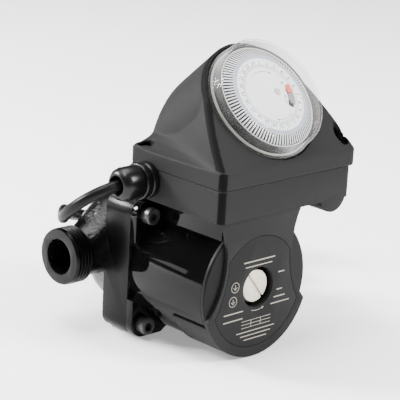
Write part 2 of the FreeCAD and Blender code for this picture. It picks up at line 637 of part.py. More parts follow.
def electrics():
    block = box("terminal_raw", 20, 56, -62, -44, "box_bottom + box_wall + 0.05", 56)
    slots = [box("terminal_slot_%d" % index, 22.5 + 7 * index, 27.5 + 7 * index, -63, -56, 50, 57)
             for index in range(5)]
    bores = [cylinder("terminal_bore_%d" % index, 1.35, 51.9, 57, 25 + 7 * index, -50)
             for index in range(5)]
    finish(cut("terminal_cut", block, fuse("terminal_slots", slots + bores)), "terminal_block")
    screw = turned("terminal_screw_body", [(0, 52), (1.3, 52), (1.3, 56.1), (2, 56.1), (2, 57.2),
                                           (0, 57.2)])
    copies("terminal_screws", screw, [(25 + 7 * index, -50, 0) for index in range(5)])
    capacitor = bore("capacitor_can", (6, -86.5, 53.8), DEPTH, 90, 8, 46)
    finish(capacitor, "run_capacitor", PUMP.multiply(capacitor.Placement))
    tie = turned("saddle_screw_body", [(0, 34), (1.9, 34), (1.9, 45), (3.6, 45), (3.6, 47.2),
                                       (0, 47.2)])
    copies("saddle_screws", tie, [(x, y, 0) for x, y in SADDLE_SCREWS])


# ---------------------------------------------------------------- timer

def spur_gear(name, teeth, module, low, high, bore_radius):
    """A plain spur wheel with tapered teeth cut thin enough to run with backlash."""
    gear = new_body(name + "_body")
    pitch = teeth * module / 2
    root = pitch - 1.15 * module
    tip = pitch + 0.8 * module
    turn(gear, name + "_disc", [(bore_radius, low), (root, low), (root, high), (bore_radius, high)])
    tooth = extrude(gear, name + "_tooth", [
        (root - 0.3, -0.78 * module), (pitch, -0.58 * module), (tip, -0.30 * module),
        (tip, 0.30 * module), (pitch, 0.58 * module), (root - 0.3, 0.78 * module)], high - low)
    tooth.Profile[0].AttachmentOffset = FreeCAD.Placement(FreeCAD.Vector(0, 0, low),
                                                          FreeCAD.Rotation())
    repeat(gear, tooth, teeth)
    return gear


GEAR_MODULE = 0.8
DIAL_TEETH, PINION_TEETH = 30, 10
GEAR_CENTRES = GEAR_MODULE * (DIAL_TEETH + PINION_TEETH) / 2
MESH_ANGLE = 20                                     # from the reduction gear to the motor pinion
REDUCTION_SPOT = (0, -GEAR_CENTRES)
PINION_SPOT = (GEAR_CENTRES * math.cos(math.radians(MESH_ANGLE)),
               GEAR_CENTRES * (math.sin(math.radians(MESH_ANGLE)) - 1))
SLOT_START, SLOT_SWEEP, LEVER_SWEEP = -40, 48, 12    # degrees about the dial's axis
BUTTON_SPOT = (5.9, 1.1)


def turned_about(place, x, y, angle):
    return place.multiply(FreeCAD.Placement(FreeCAD.Vector(x, y, 0), FreeCAD.Rotation(UPRIGHT, angle)))


def sector(name, inner, outer, low, high, start, sweep):
    """Part of a ring: a slot or a lever that follows the dial's circle."""
    pieces = []
    for suffix, radius in (("_outer", outer), ("_inner", inner)):
        piece = cylinder(name + suffix, radius, low, high)
        piece.Angle = sweep if suffix == "_outer" else 360
        piece.Placement = FreeCAD.Placement(FreeCAD.Vector(0, 0, low),
                                            FreeCAD.Rotation(UPRIGHT, start))
        pieces.append(piece)
    return cut(name, *pieces)


def timer():
    """Segment timer: case, dial with setting tappets, switch, motor and reduction gears."""
    finish(turned("case_body", [
        (0, "-case_depth"), ("case_radius", "-case_depth"), ("case_radius", -1.45),
        ("case_radius + 1.7", -1.45), ("case_radius + 1.7", 0), ("case_radius - 0.2", 0),
        ("case_radius - 0.2", 5.4), ("case_radius - 1.2", 5.4), ("case_radius - 1.2", -4.4),
        (7.3, -4.4), (7.3, -5.6), ("case_radius - 1.6", -5.6),
        ("case_radius - 1.6", "-case_depth + 2"), (0, "-case_depth + 2")]), "timer_case", DIAL)
    finish(turned("dial_body", [
        (5, -9.9), (7, -9.9), (7, -3.4), ("tappet_outer - 0.4", -3.4),
        ("tappet_outer - 0.4", -0.6), ("dial_radius", -0.6), ("dial_radius", "dial_face"),
        ("centre_radius + 0.3", "dial_face"), ("centre_radius + 0.3", "dial_face - 1.5"),
        ("dial_radius - 1.8", "dial_face - 1.5"), ("dial_radius - 1.8", 1.2), (5, 1.2)]),
        "dial_ring", DIAL)
    finish(spur_gear("dial_gear", DIAL_TEETH, GEAR_MODULE, -9.8, -6.2, 7.02), "dial_gear", DIAL)
    wheel = spur_gear("reduction_wheel", DIAL_TEETH, GEAR_MODULE, -13.6, -11.0, 1.05)
    wheel.Placement = FreeCAD.Placement(FreeCAD.Vector(), FreeCAD.Rotation(UPRIGHT, 8))
    pinion = spur_gear("reduction_pinion", PINION_TEETH, GEAR_MODULE, -11.2, -6.2, 1.05)
    pinion.Placement = FreeCAD.Placement(FreeCAD.Vector(), FreeCAD.Rotation(UPRIGHT, 18))
    finish(fuse("reduction_pair", [wheel, pinion]), "reduction_gear",
           turned_about(DIAL, *REDUCTION_SPOT, 0))
    drive = fuse("drive_pinion", [spur_gear("motor_pinion", PINION_TEETH, GEAR_MODULE, -13.8, -10.8,
                                            1.0), cylinder("motor_shaft", 1.02, -19.5, -10.8)])
    finish(drive, "motor_pinion", turned_about(DIAL, *PINION_SPOT, 2))
    motor = cut("timer_motor_cut", cylinder("timer_motor_can", 10.4, "-case_depth + 2.1", -14.6),
                cylinder("timer_motor_bore", 1.15, -19.8, -14))
    finish(motor, "timer_motor", turned_about(DIAL, *PINION_SPOT, 0))
    pin = cylinder("gear_pin_rod", 1.0, "-case_depth + 2.05", -5.7)
    place_freely(pin)
    finish(pin, "gear_pin", turned_about(DIAL, *REDUCTION_SPOT, 0).multiply(
               FreeCAD.Placement(FreeCAD.Vector(0, 0, 2.05 - size("case_depth")),
                                 FreeCAD.Rotation())))
    finish(turned("spindle_body", [
        (0, "-case_depth + 2.05"), (6.5, "-case_depth + 2.05"), (6.5, -14), (3.1, -14),
        (3.1, -10.4), (4.95, -10.4), (4.95, 1.1), (3, 1.1), (3, 7.1), (0, 7.1)]), "dial_spindle", DIAL)
    tappets()
    setting_controls()


def tappets():
    """Small setting levers standing round the dial, their tops sloping down and outwards."""
    inner = size("dial_radius") + 0.15
    outer = size("tappet_outer")
    count = int(size("tappet_count"))
    half_wide = 0.30 * 2 * math.pi * inner / count
    floor = -0.55
    side = [FreeCAD.Vector(inner, -half_wide, floor), FreeCAD.Vector(outer, -half_wide, floor),
            FreeCAD.Vector(outer, -half_wide, size("tappet_low")),
            FreeCAD.Vector(inner, -half_wide, size("tappet_high"))]
    blade = Part.Face(Part.makePolygon(side + [side[0]])).extrude(FreeCAD.Vector(0, 2 * half_wide, 0))
    ring = []
    for index in range(count):
        piece = blade.copy()
        piece.rotate(FreeCAD.Vector(), UPRIGHT, 360.0 * index / count)
        ring.append(piece)
    finish(shaped("tappet_ring", Part.makeCompound(ring)), "setting_tappets", DIAL)


def setting_controls():
    """Fixed centre disc, override lever in its slot, push button, switch, bezel and lens."""
    disc = cylinder("centre_disc", "centre_radius", "dial_face - 1.3", "dial_face")
    slot = sector("override_slot", 12.4, 16.4, 6, 10, SLOT_START, SLOT_SWEEP)
    hole = cylinder("button_hole", 2.1, 6, 10, *BUTTON_SPOT)
    finish(cut("centre_cut", disc, fuse("centre_holes", [slot, hole])), "dial_centre", DIAL)
    start = SLOT_START + SLOT_SWEEP - LEVER_SWEEP - 1
    knob = sector("lever_knob", 12.8, 16.0, 2.6, "dial_face + 1.2", start, LEVER_SWEEP)
    hub = cut("lever_hub", cylinder("lever_hub_disc", 4.9, 2.6, 4.0),
              cylinder("lever_hub_bore", 3.05, 2, 5))
    arm = box("lever_arm", 4, 14, -1.4, 1.4, 2.6, 4.0)
    place_freely(arm)
    arm.Placement = FreeCAD.Placement(FreeCAD.Vector(0, 0, 0),
                                      FreeCAD.Rotation(UPRIGHT, start + LEVER_SWEEP / 2)).multiply(
        FreeCAD.Placement(FreeCAD.Vector(4, -1.4, 2.6), FreeCAD.Rotation()))
    finish(fuse("lever_solid", [knob, hub, arm]), "override_lever", DIAL)
    finish(turned("button_body", [
        (0, 5.0), (2.9, 5.0), (2.9, 6.1), (1.95, 6.1), (1.95, "dial_face + 0.6"),
        (1.6, "dial_face + 1.0"), (0, "dial_face + 1.0")]), "set_button",
        turned_about(DIAL, *BUTTON_SPOT, 0))
    switch = box("switch_body", -26, -12, -6, 6, "-case_depth + 2.1", -17)
    place_freely(switch)
    finish(switch, "switch_block", DIAL.multiply(FreeCAD.Placement(
        FreeCAD.Vector(-26, -6, size("-case_depth + 2.1")), FreeCAD.Rotation())))
    pivot = bore("arm_pivot", (0, 4, 0.4), ACROSS, 90, 0.9, 8)
    blade = fuse("arm_parts", [box("arm_blade", 0, 14, -2, 2, 0, 0.8),
                               cylinder("arm_tip", 1.6, 0, 5, 12.2), pivot])
    finish(blade, "switch_arm", DIAL.multiply(FreeCAD.Placement(
        FreeCAD.Vector(-26, 0, -16.2), FreeCAD.Rotation())))
    ring = turned("bezel_body", [
        ("case_radius - 0.1", 0.05), ("case_radius + 1.6", 0.05), ("case_radius + 1.6", 2.6),
        ("case_radius - 0.1", 3.4)])
    notch = sector("bezel_notch", 31, 35, 1.2, 5, 45, 4)
    finish(cut("bezel_cut", ring, notch), "dial_bezel", DIAL)
    finish(turned("lens_body", [
        ("lens_radius - lens_wall", -1.4), ("lens_radius", -1.4), ("lens_radius", 0.6),
        ("lens_front", "lens_rise - 1.2"), ("lens_front - 1.2", "lens_rise"), (0, "lens_rise"),
        (0, "lens_rise - lens_wall"), ("lens_front - 1.4", "lens_rise - lens_wall"),
        ("lens_radius - lens_wall", 0.6)]), "timer_lens", DIAL)


# ---------------------------------------------------------------- cable gland and mains lead

def gland():
    """Two-part cable gland through the box's side wall."""
    finish(turned("gland_body_turned", [
        ("gland_thread - 1.4", -4.5), ("gland_thread", -4.5), ("gland_thread", 0.05),
        ("gland_radius", 0.05), ("gland_radius", 3.6), ("gland_radius - 0.5", 4),
        ("gland_radius - 0.5", 4.8), ("gland_radius", 5.2), ("gland_radius", 8.4),
        ("gland_radius - 0.5", 8.9), (7.4, 8.9), (7.4, 15), (5.6, 15), (5.6, 4.5),
        ("gland_thread - 1.4", 4.5)]), "gland_body", GLAND)
    finish(turned("gland_seal_body", [
        ("cable_radius + 0.05", 5), (5.5, 5), (5.5, 15), (4.4, 17.5), ("cable_radius + 0.05", 17.5)]),
        "gland_seal", GLAND)
    finish(turned("gland_nut_body", [
        (7.5, 9.1), ("gland_radius - 1.3", 9.1), ("gland_radius - 0.8", 9.6),
        ("gland_radius - 0.8", 18.5), ("gland_radius - 1.6", 21), ("gland_radius - 3.4", 23),
        ("gland_radius - 4.6", 23.4), (5.2, 22.6), (4.9, 18.2), (7.5, 16.4)]),
        "gland_nut", GLAND)
    finish(turned("locknut_body", [
        ("gland_thread + 0.05", -4.4), ("gland_thread + 1.7", -4.4), ("gland_thread + 1.7", -2.45),
        ("gland_thread + 0.05", -2.45)]), "gland_locknut", GLAND)


LEAD_ROUTE = [
    (-46, -38.8, 54), (-58, -38.8, 54), (-69.5, -34.1, 49.6), (-75.6, -25.3, 41.8),
    (-74.6, -14.8, 33.4), (-67, -5.1, 27.5), (-53.5, 11, 28), (-39.5, 24.5, 17.5),
    (-19.5, 31.5, 12.1), (1, 38, 6.5), (21, 47, -4.5), (38, 56.5, -17), (53, 65.2, -29),
    (67.5, 70.6, -36), (81.7, 71.5, -37.6)]


def on_coil(angle, radius, rise):
    """A point over the coil, by its angle, its distance from the coil's middle and its height."""
    return (size("coil_right") + radius * math.cos(math.radians(angle)),
            size("coil_back") + radius * math.sin(math.radians(angle)), rise)


TAIL_ROUTE = [on_coil(205, 35.5, -24.5), on_coil(180, 36.5, -21.5), on_coil(155, 38.5, -17),
              on_coil(134, 41.5, -13), (64, 72, -11.2)]
PLUG_HEADING = -20                                  # degrees from +X, seen from above
PLUG_LIFT = 10.0                                    # from the plug's back to its lead


def tube(name, route):
    """A cable along straight runs joined by arcs that are as large as the runs allow."""
    points = [FreeCAD.Vector(*spot) for spot in route]
    edges = []
    last = points[0]
    radii = []
    for before, corner, after in zip(points, points[1:], points[2:]):
        back = before - corner
        ahead = after - corner
        run = 0.45 * min(back.Length, ahead.Length)
        back.normalize()
        ahead.normalize()
        half = back.getAngle(ahead) / 2
        radii.append(run * math.tan(half))
        start = corner + back * run
        end = corner + ahead * run
        inward = (back + ahead).normalize()
        middle = corner + inward * (run / math.cos(half) - radii[-1])
        edges.append(Part.LineSegment(last, start).toShape())
        edges.append(Part.Arc(start, middle, end).toShape())
        last = end
    edges.append(Part.LineSegment(last, points[-1]).toShape())
    path = Part.Wire(edges)
    radius = size("cable_radius")
    ring = Part.Wire(Part.Circle(points[0], points[1] - points[0], radius).toShape())
    solid = path.makePipeShell([ring], True, False)
    expected = math.pi * radius ** 2 * path.Length
    print("%s: length %.1f mm, volume ratio %.4f, radii %s" % (
        name, path.Length, solid.Volume / expected, " ".join("%.0f" % r for r in radii)))
    return solid, path.Length


def mains_lead():
    """The lead leaves the gland, swings back over the left port and drops behind the housing."""
    lead, lead_run = tube("mains_cable", LEAD_ROUTE)
    finish(shaped("lead_tube", lead), "mains_cable")
    floor = -size("origin_drop")
    half = size("cable_radius * coil_rows")
    low = "%g" % floor
    high = "%g + 2 * cable_radius * coil_layers" % floor
    ring = turned("coil_ring", [
        ("coil_radius - %g + 1.5" % half, low), ("coil_radius + %g - 1.5" % half, low),
        ("coil_radius + %g" % half, "%s + 1.5" % low), ("coil_radius + %g" % half, "(%s) - 1.5" % high),
        ("coil_radius + %g - 1.5" % half, high), ("coil_radius - %g + 1.5" % half, high),
        ("coil_radius - %g" % half, "(%s) - 1.5" % high), ("coil_radius - %g" % half, "%s + 1.5" % low)])
    spot = FreeCAD.Placement(FreeCAD.Vector(size("coil_right"), size("coil_back"), 0),
                             FreeCAD.Rotation())
    finish(ring, "cable_coil", PUMP.multiply(spot))
    tail, tail_run = tube("plug_lead", TAIL_ROUTE)
    finish(shaped("tail_tube", tail), "plug_lead")
    print("lead outside the coil: %.0f mm" % (lead_run + tail_run))
    outer = box("tie_outer", 28.4, 44.2, -4, 4, "%g + 0.3" % floor, "(%s) + 1.2" % high)
    inner = box("tie_inner", 29.2, 43.4, -5, 5, "%g - 1" % floor, "(%s) + 0.2" % high)
    finish(cut("tie_cut", outer, inner), "coil_tie",
           turned_about(PUMP.multiply(spot), 0, 0, -60))


def plug():
    """Right-angled earthed plug lying on the coil with its pins up."""
    back = size("-origin_drop + 2 * cable_radius * coil_layers")
    entry = FreeCAD.Vector(*TAIL_ROUTE[-1])
    turn_round = FreeCAD.Rotation(UPRIGHT, PLUG_HEADING)
    reach = size("plug_radius + relief_length")
    centre = FreeCAD.Vector(entry.x, entry.y, back) + turn_round.multVec(FreeCAD.Vector(reach, 0, 0))
    place = PUMP.multiply(FreeCAD.Placement(centre, turn_round))
    body = turned("plug_turned", [
        (0, 0.1), ("plug_radius - 5", 0.1), ("plug_radius - 1", 3), ("plug_radius", 7),
        ("plug_radius", "plug_depth"), (0, "plug_depth")])
    relief = doc.addObject("Part::Cone", "plug_relief")
    relief.Radius1 = size("cable_radius") + 1.0
    relief.Radius2 = 6.4
    relief.setExpression("Height", bind("relief_length + 3"))
    relief.Placement = FreeCAD.Placement(FreeCAD.Vector(-reach, 0, size("%g" % TAIL_ROUTE[-1][2])
                                                        - back), FreeCAD.Rotation(DEPTH, 90))
    flats = [box("plug_flat_%d" % side, -8, 8, 17.0 if side > 0 else -21, 21 if side > 0 else -17.0,
                 8, 30) for side in (-1, 1)]
    finish(cut("plug_cut", fuse("plug_solid", [body, relief]), fuse("plug_flats", flats)),
           "mains_plug", place)
    pin = turned("pin_turned", [
        (0, "plug_depth + 0.02"), (2.4, "plug_depth + 0.02"), (2.4, "plug_depth + 17.5"),
        (1.4, "plug_depth + 19"), (0, "plug_depth + 19")])
    copies("plug_pins", pin, [(0, -9.5, 0), (0, 9.5, 0)], place)


housing()
hydraulics()
rotor()
stator()
motor_shell()
fasteners()
control_box()
hood()
electrics()
timer()
gland()
mains_lead()
plug()

# ---------------------------------------------------------------- checks and export

doc.recompute()
faults = [item.Name for item in doc.Objects if "Invalid" in item.State or "Error" in item.State]
faults += [item.Label for item in nodes if item.Shape.isNull() or not item.Shape.isValid()]
if faults:
    raise SystemExit("not built: " + ", ".join(faults))
os.makedirs("parts", exist_ok=True)
for item in nodes:
    item.Shape.exportStep("parts/%s.step" % item.Label)
    print("%-22s %2d solids %10.0f mm3" % (item.Label, len(item.Shape.Solids), item.Shape.Volume))
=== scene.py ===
import json
import math

import bmesh
import bpy
from mathutils import Matrix, Vector


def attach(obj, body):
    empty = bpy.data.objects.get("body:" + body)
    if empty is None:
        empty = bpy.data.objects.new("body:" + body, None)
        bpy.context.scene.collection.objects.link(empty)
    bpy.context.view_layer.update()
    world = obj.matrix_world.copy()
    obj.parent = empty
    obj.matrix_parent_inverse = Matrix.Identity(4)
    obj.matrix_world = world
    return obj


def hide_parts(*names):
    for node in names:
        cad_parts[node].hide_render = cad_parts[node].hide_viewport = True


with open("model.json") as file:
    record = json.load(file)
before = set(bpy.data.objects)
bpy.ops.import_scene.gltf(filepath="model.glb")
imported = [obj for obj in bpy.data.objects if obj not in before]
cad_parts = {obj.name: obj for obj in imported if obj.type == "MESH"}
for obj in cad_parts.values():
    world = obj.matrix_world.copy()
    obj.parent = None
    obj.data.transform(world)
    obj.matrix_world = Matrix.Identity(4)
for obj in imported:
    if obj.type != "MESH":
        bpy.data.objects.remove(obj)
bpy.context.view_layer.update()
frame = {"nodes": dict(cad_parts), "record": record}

MM = 0.001
OFFSET = Vector((-4.0, 43.85, 41.0))        # millimetres, from the pump's axes to the frame
NODES = frame["nodes"]
WELD_DISTANCE = 2e-6                        # metres; points of one CAD corner lie closer than this


# ---------------------------------------------------------------- places

def at(x, y, z):
    """A point given in millimetres from the crossing of pipe and motor axes, in metres."""
    return (Vector((x, y, z)) + OFFSET) * MM


def local_frame(origin, turn):
    """Millimetres in a piece's own axes to metres in the frame."""
    return Matrix.Translation(at(*origin)) @ turn.to_4x4() @ Matrix.Scale(MM, 4)


PUMP = local_frame((0, 0, 0), Matrix.Identity(3))
MOTOR = local_frame((0, 0, 0), Matrix.Rotation(math.radians(90), 3, "X"))
DIAL = local_frame((17.1, -73.4, 99.7), Matrix.Rotation(math.radians(49.3), 3, "X"))
COIL = (81.7, 31.9)


# ---------------------------------------------------------------- materials

def new_material(name):
    material = bpy.data.materials.new(name)
    material.use_nodes = True
    nodes, links = material.node_tree.nodes, material.node_tree.links
    shader = nodes["Principled BSDF"]
    place = nodes.new("ShaderNodeTexCoord").outputs["Object"]
    return material, nodes, links, shader, place


def noise(nodes, links, place, scale, detail=4.0, rough=0.5, stretch=None):
    texture = nodes.new("ShaderNodeTexNoise")
    texture.inputs["Scale"].default_value = scale
    texture.inputs["Detail"].default_value = detail
    texture.inputs["Roughness"].default_value = rough
    if stretch:
        mapping = nodes.new("ShaderNodeMapping")
        mapping.inputs["Scale"].default_value = stretch
        links.new(place, mapping.inputs["Vector"])
        place = mapping.outputs["Vector"]
    links.new(place, texture.inputs["Vector"])
    return texture.outputs["Fac"]


def spread(nodes, links, source, low, high, start=0.3, end=0.7):
    remap = nodes.new("ShaderNodeMapRange")
    remap.inputs["From Min"].default_value = start
    remap.inputs["From Max"].default_value = end
    remap.inputs["To Min"].default_value = low
    remap.inputs["To Max"].default_value = high
    links.new(source, remap.inputs["Value"])
    return remap.outputs["Result"]


def tinted(nodes, links, source, dark, light, start=0.3, end=0.7):
    ramp = nodes.new("ShaderNodeValToRGB")
    ramp.color_ramp.elements[0].position = start
    ramp.color_ramp.elements[0].color = (*dark, 1)
    ramp.color_ramp.elements[1].position = end
    ramp.color_ramp.elements[1].color = (*light, 1)
    links.new(source, ramp.inputs["Fac"])
    return ramp.outputs["Color"]


def bumped(nodes, links, shader, height, distance, strength=1.0, after=None):
    bump = nodes.new("ShaderNodeBump")
    bump.inputs["Strength"].default_value = strength
    bump.inputs["Distance"].default_value = distance
    links.new(height, bump.inputs["Height"])
    if after:
        links.new(after.outputs["Normal"], bump.inputs["Normal"])
    links.new(bump.outputs["Normal"], shader.inputs["Normal"])
    return bump


def surface(name, dark, light, rough, grain=900, depth=0.00005, metallic=0.0, patches=45,
            coat=0.0, specular=0.5, strength=0.5, stretch=None):
    """Colour drifting in soft patches, a fine grain, and gloss that varies with both."""
    material, nodes, links, shader, place = new_material(name)
    broad = noise(nodes, links, place, patches, 3)
    fine = noise(nodes, links, place, grain, 3, 0.6, stretch)
    links.new(tinted(nodes, links, broad, dark, light), shader.inputs["Base Color"])
    links.new(spread(nodes, links, broad, rough * 0.88, rough * 1.12), shader.inputs["Roughness"])
    bumped(nodes, links, shader, fine, depth, strength)
    shader.inputs["Metallic"].default_value = metallic
    shader.inputs["Coat Weight"].default_value = coat
    shader.inputs["Coat Roughness"].default_value = 0.05
    shader.inputs["Specular IOR Level"].default_value = specular
    return material


def cast_paint(name, depth):
    """Thick gloss paint over a sand casting: lumps and pits below a smooth skin."""
    material, nodes, links, shader, place = new_material(name)
    lumps = noise(nodes, links, place, 260, 5, 0.6)
    pits = noise(nodes, links, place, 900, 3, 0.6)
    links.new(tinted(nodes, links, lumps, (0.001, 0.001, 0.0012), (0.003, 0.003, 0.0032)),
              shader.inputs["Base Color"])
    links.new(spread(nodes, links, lumps, 0.14, 0.30), shader.inputs["Roughness"])
    first = bumped(nodes, links, shader, lumps, 0.0009, depth)
    bumped(nodes, links, shader, pits, 0.00022, depth * 0.7, first)
    shader.inputs["Specular IOR Level"].default_value = 0.25
    return material


def clear_plastic(name):
    """Thin clear moulding: nearly invisible face on, bright and greyish at its edges."""
    material, nodes, links, shader, place = new_material(name)
    facing = nodes.new("ShaderNodeLayerWeight")
    facing.inputs["Blend"].default_value = 0.32
    links.new(spread(nodes, links, facing.outputs["Facing"], 0.03, 0.75, 0.25, 0.95),
              shader.inputs["Alpha"])
    haze = noise(nodes, links, place, 120, 2)
    links.new(tinted(nodes, links, haze, (0.42, 0.41, 0.41), (0.54, 0.53, 0.53)),
              shader.inputs["Base Color"])
    links.new(spread(nodes, links, haze, 0.03, 0.06), shader.inputs["Roughness"])
    shader.inputs["Specular IOR Level"].default_value = 0.9
    return material


FINISH = {
    "cast_black": cast_paint("cast_black_paint", 0.75),
    "can_black": surface("gloss_black_paint", (0.0015, 0.0015, 0.0015), (0.003, 0.003, 0.003),
                         0.05, grain=420, depth=0.00006, strength=0.12, patches=30,
                         specular=0.12),
    "box_grey": surface("textured_grey_plastic", (0.0130, 0.0130, 0.0132),
                        (0.0160, 0.0160, 0.0162), 0.55, grain=2600, depth=0.00012, patches=18, strength=0.5, specular=0.07),
    "plate_grey": surface("nameplate_film", (0.0105, 0.0105, 0.0107), (0.0125, 0.0125, 0.0127), 0.5,
                          grain=1800, depth=0.00004, specular=0.08),
    "seal_black": surface("black_rubber", (0.003, 0.003, 0.003), (0.006, 0.006, 0.006), 0.62,
                          grain=1500, depth=0.00004),
    "steel": surface("ground_steel", (0.42, 0.42, 0.43), (0.56, 0.56, 0.57), 0.32, grain=1200,
                     depth=0.00003, metallic=1.0, stretch=(1, 12, 1)),
    "screw_black": surface("blackened_steel", (0.012, 0.012, 0.013), (0.03, 0.03, 0.03), 0.34,
                           grain=1400, depth=0.00004),
    "bearing_carbon": surface("carbon_graphite", (0.03, 0.03, 0.03), (0.06, 0.06, 0.06), 0.5),
    "copper": surface("enamelled_copper", (0.42, 0.16, 0.06), (0.62, 0.28, 0.12), 0.3, grain=900,
                      depth=0.0002, metallic=1.0, stretch=(1, 1, 8)),
    "nickel": surface("brushed_nickel", (0.60, 0.54, 0.46), (0.70, 0.64, 0.56), 0.5, grain=1600,
                      depth=0.00006, metallic=0.55, patches=220),
    "impeller_tan": surface("tan_moulding", (0.42, 0.36, 0.26), (0.52, 0.46, 0.36), 0.5),
    "case_cream": surface("cream_moulding", (0.62, 0.60, 0.54), (0.70, 0.68, 0.62), 0.42),
    "dial_white": surface("white_moulding", (0.80, 0.81, 0.82), (0.86, 0.87, 0.87), 0.4),
    "tappet_white": surface("tappet_moulding", (0.62, 0.63, 0.66), (0.74, 0.75, 0.77), 0.4),
    "lever_red": surface("red_moulding", (0.62, 0.045, 0.035), (0.74, 0.07, 0.05), 0.4),
    "button_grey": surface("pale_button", (0.55, 0.54, 0.53), (0.68, 0.67, 0.66), 0.4),
    "black_plastic": surface("black_moulding", (0.002, 0.002, 0.002), (0.004, 0.004, 0.004), 0.3,
                             grain=1600, depth=0.00004, specular=0.25),
    "capacitor_white": surface("capacitor_moulding", (0.6, 0.6, 0.58), (0.7, 0.7, 0.68), 0.45),
    "bright_metal": surface("bright_plating", (0.62, 0.62, 0.62), (0.74, 0.74, 0.74), 0.22,
                            metallic=1.0),
    "lens_clear": clear_plastic("clear_lens"),
}
PRINT_GREY = surface("grey_print", (0.07, 0.08, 0.10), (0.11, 0.12, 0.14), 0.5)
BAND_BLUE = surface("blue_grey_band", (0.30, 0.33, 0.40), (0.38, 0.41, 0.48), 0.45)
PRINT_BEIGE = surface("beige_print", (0.26, 0.24, 0.20), (0.34, 0.31, 0.27), 0.5)
# Painted shade: a darker, duller grey given to the rounded corners of the box and hood, where shade
# falls.
EDGE_PAINTED_SHADE = surface("painted_edge_shade", (0.0038, 0.0038, 0.0038), (0.0052, 0.0052, 0.0052), 0.6,
                    grain=2600, depth=0.00005, specular=0.03)
CAP_SATIN = surface("satin_black_rim", (0.004, 0.004, 0.004), (0.006, 0.006, 0.006), 0.45,
                    grain=2200, depth=0.00006, specular=0.1)
MACHINED_BLACK = surface("smooth_black_paint", (0.001, 0.001, 0.001), (0.002, 0.002, 0.002), 0.3,
                         grain=900, depth=0.0001, specular=0.12)
# Painted shade for the recess round the override slot.
SLOT_PAINTED_SHADE = surface("painted_recess_shade", (0.16, 0.16, 0.17), (0.22, 0.22, 0.23), 0.6)
# Plain black for the real black ring round the dial, also used as painted shade on the tappets'
# flanks and deep in their gaps.
BLACK_AND_GAP_SHADE = surface("black_and_painted_gap_shade", (0.002, 0.002, 0.002), (0.004, 0.004, 0.004), 0.7)

slot_of = {part["node"]: part["material_slot"] for part in frame["record"]["subparts"]}
for name, node in NODES.items():
    node.data.materials.clear()
    node.data.materials.append(FINISH[slot_of[name]])


# ---------------------------------------------------------------- mesh helpers

def smooth_by_angle(mesh, degrees):
    mesh.polygons.foreach_set("use_smooth", [True] * len(mesh.polygons))
    mesh.set_sharp_from_angle(angle=math.radians(degrees))


def add(name, data):
    """A new object that holds this data, put into the scene."""
    thing = bpy.data.objects.new(name, data)
    bpy.context.scene.collection.objects.link(thing)
    return thing


def apply_modifiers(piece):
    applied = bpy.data.meshes.new_from_object(
        piece.evaluated_get(bpy.context.evaluated_depsgraph_get()))
    piece.modifiers.clear()
    piece.data = applied
    return applied


def make(name, verts, faces, finish, body, place=PUMP, sharp=35):
    """A mesh piece from millimetre points in a local frame."""
    mesh = bpy.data.meshes.new(name)
    mesh.from_pydata([place @ Vector(v) for v in verts], [], faces)
    work = bmesh.new()
    work.from_mesh(mesh)
    bmesh.ops.recalc_face_normals(work, faces=work.faces)
    work.to_mesh(mesh)
    work.free()
    smooth_by_angle(mesh, sharp)
    mesh.materials.append(finish)
    piece = add(name, mesh)
    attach(piece, body)
    return piece


def lathe(profile, segments=128, start=0.0, sweep=360.0):
    """Points and faces of (radius, height) pairs turned about local Z, closed into a ring."""
    verts, faces = [], []
    whole = sweep >= 360
    steps = segments if whole else segments + 1
    for step in range(steps):
        angle = math.radians(start + sweep * step / segments)
        for radius, height in profile:
            verts.append((radius * math.cos(angle), radius * math.sin(angle), height))
    count = len(profile)
    for step in range(segments):
        a, b = step * count, ((step + 1) % steps) * count
        for k in range(count):
            n = (k + 1) % count
            faces.append((a + k, b + k, b + n, a + n))
    if not whole:
        faces.append(tuple(range(count)))
        faces.append(tuple(reversed(range((steps - 1) * count, steps * count))))
    return verts, faces


def band(inner, outer, low, high):
    return [(inner, low), (outer, low), (outer, high), (inner, high)]


def join_parts(parts):
    verts, faces = [], []
    for more_verts, more_faces in parts:
        base = len(verts)
        verts += more_verts
        faces += [tuple(i + base for i in face) for face in more_faces]
    return verts, faces


def strip(points, width, low, high):
    """A flat raised line through local (x, y) points."""
    verts, faces = [], []
    for index, point in enumerate(points):
        here = Vector(point)
        ahead = Vector(points[min(index + 1, len(points) - 1)])
        behind = Vector(points[max(index - 1, 0)])
        side = (ahead - behind).normalized().orthogonal() * width / 2
        for offset in (side, -side):
            for level in (low, high):
                verts.append((here.x + offset.x, here.y + offset.y, level))
    for index in range(len(points) - 1):
        a, b = index * 4, index * 4 + 4
        faces += [(a, b, b + 1, a + 1), (a + 3, b + 3, b + 2, a + 2),
                  (a + 1, b + 1, b + 3, a + 3), (a + 2, b + 2, b, a)]
    last = (len(points) - 1) * 4
    faces += [(0, 1, 3, 2), (last, last + 2, last + 3, last + 1)]
    return verts, faces


def slab(points, low, high):
    """A flat plate with the given local outline."""
    count = len(points)
    verts = [(x, y, low) for x, y in points] + [(x, y, high) for x, y in points]
    faces = [tuple(reversed(range(count))), tuple(range(count, 2 * count))]
    faces += [(k, (k + 1) % count, (k + 1) % count + count, k + count) for k in range(count)]
    return verts, faces


def arc(radius, start, end, steps=24, centre=(0, 0)):
    return [(centre[0] + radius * math.cos(math.radians(start + (end - start) * k / steps)),
             centre[1] + radius * math.sin(math.radians(start + (end - start) * k / steps)))
            for k in range(steps + 1)]


